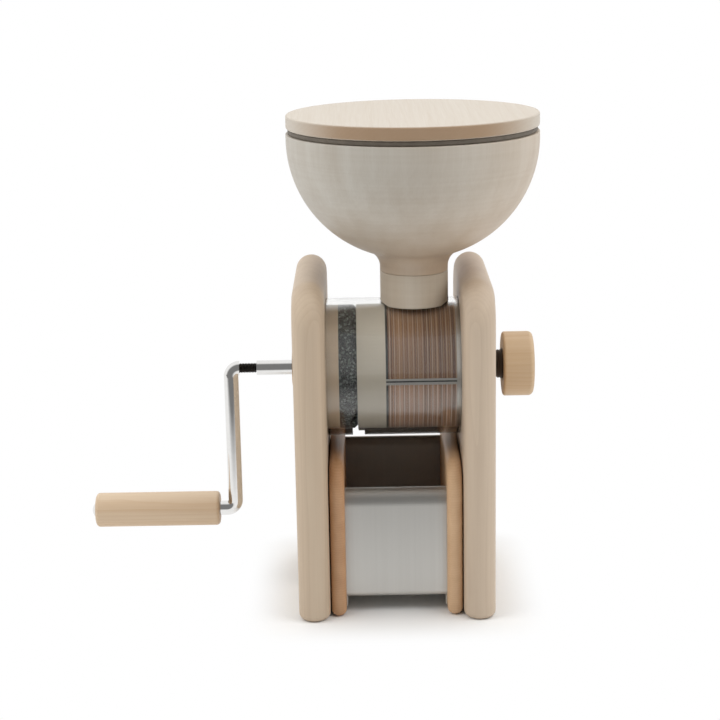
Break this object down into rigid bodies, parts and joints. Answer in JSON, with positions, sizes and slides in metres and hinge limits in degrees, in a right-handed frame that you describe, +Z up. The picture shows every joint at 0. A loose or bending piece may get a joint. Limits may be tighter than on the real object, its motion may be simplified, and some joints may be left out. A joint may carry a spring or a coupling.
{
  "type": "hand grain mill",
  "caption": "Table-top hand grain mill: wooden side boards, stone mill under a clear tube, turned hopper with lid, bent steel crank with wooden grip, gap knob and a pull-out flour bin.",
  "frame": {"origin": "middle of the crank side board's foot face, on the table", "axes": "+Z up, +X along the crank axis from the crank to the adjusting knob, -Y to the front where the flour bin pulls out"},
  "size_m": [0.367, 0.199, 0.391],
  "materials": {
    "oiled_beech": "oiled, satin",
    "warm_beech": "oiled, satin",
    "pale_maple": "turned, bare",
    "laminated_beech": "resin-bonded veneers, turned",
    "granite": "speckled, ground",
    "polished_steel": "polished",
    "plain_steel": "plain",
    "brushed_tub_steel": "satin sheet",
    "aluminium": "satin",
    "bronze": "turned",
    "dark_resin": "matt",
    "grey_silicone": "matt",
    "black_rubber": "matt",
    "clear_acrylic": "clear, glossy",
    "black_steel": "blackened thread"
  },
  "bodies": {
    "frame": {"crank_side_board": "oiled_beech", "knob_side_board": "oiled_beech", "rear_rail": "oiled_beech", "rail_screws": "plain_steel", "cover_tube": "clear_acrylic", "crank_side_bush": "bronze", "stone_holder": "pale_maple", "fixed_stone": "granite", "holder_dowels": "plain_steel", "housing_seal": "black_rubber", "feed_housing_upper": "laminated_beech", "feed_housing_lower": "laminated_beech", "upper_joint_strips": "aluminium", "joint_gasket": "black_rubber", "lower_joint_strips": "aluminium", "housing_end_ring": "aluminium", "housing_bush": "bronze", "housing_screws": "plain_steel", "adjuster_nut": "dark_resin", "hopper_collar": "oiled_beech", "gap_spring": "plain_steel"},
    "hopper": {"hopper_bowl": "oiled_beech"},
    "lid": {"lid_disc": "oiled_beech", "lid_plug": "oiled_beech", "lid_seal": "grey_silicone"},
    "carriage": {"thrust_ball": "polished_steel"},
    "crank": {"main_shaft": "polished_steel", "drive_disc": "pale_maple", "drive_pin": "plain_steel", "running_stone": "granite", "feed_auger": "plain_steel", "spring_washer": "plain_steel", "crank_stud": "black_steel", "crank_rod": "polished_steel", "grip_cap": "polished_steel"},
    "grip": {"crank_grip": "oiled_beech"},
    "knob": {"adjusting_spindle": "polished_steel", "adjusting_knob": "oiled_beech"},
    "bin": {"bin_left_side": "warm_beech", "bin_right_side": "warm_beech", "bin_tub": "brushed_tub_steel", "bin_screws": "plain_steel"}
  },
  "joints": [
    {"name": "hopper_lift", "type": "slide", "parent": "frame", "child": "hopper", "axis": [0, 0, 1], "range_m": [0, 0.12]},
    {"name": "lid_lift", "type": "slide", "parent": "hopper", "child": "lid", "axis": [0, 0, 1], "range_m": [0, 0.08]},
    {"name": "stone_gap", "type": "slide", "parent": "frame", "child": "carriage", "axis": [1, 0, 0], "range_m": [-0.002, 0.0002], "deforming": ["gap_spring"]},
    {"name": "crank_turn", "type": "hinge", "parent": "carriage", "child": "crank", "pos_m": [0, 0, 0.187], "axis": [1, 0, 0], "continuous": true},
    {"name": "grip_spin", "type": "hinge", "parent": "crank", "child": "grip", "pos_m": [-0.1295, 0, 0.068], "axis": [1, 0, 0], "continuous": true},
    {"name": "knob_turn", "type": "hinge", "parent": "carriage", "child": "knob", "pos_m": [0.154, 0, 0.187], "axis": [1, 0, 0], "range_deg": [-362, 38]},
    {"name": "bin_slide", "type": "slide", "parent": "frame", "child": "bin", "axis": [0, -1, 0], "range_m": [0, 0.16]}
  ],
  "couplings": [
    {"joint": "knob_turn", "follows": "stone_gap", "rad_per_m": 3141.6}
  ]
}
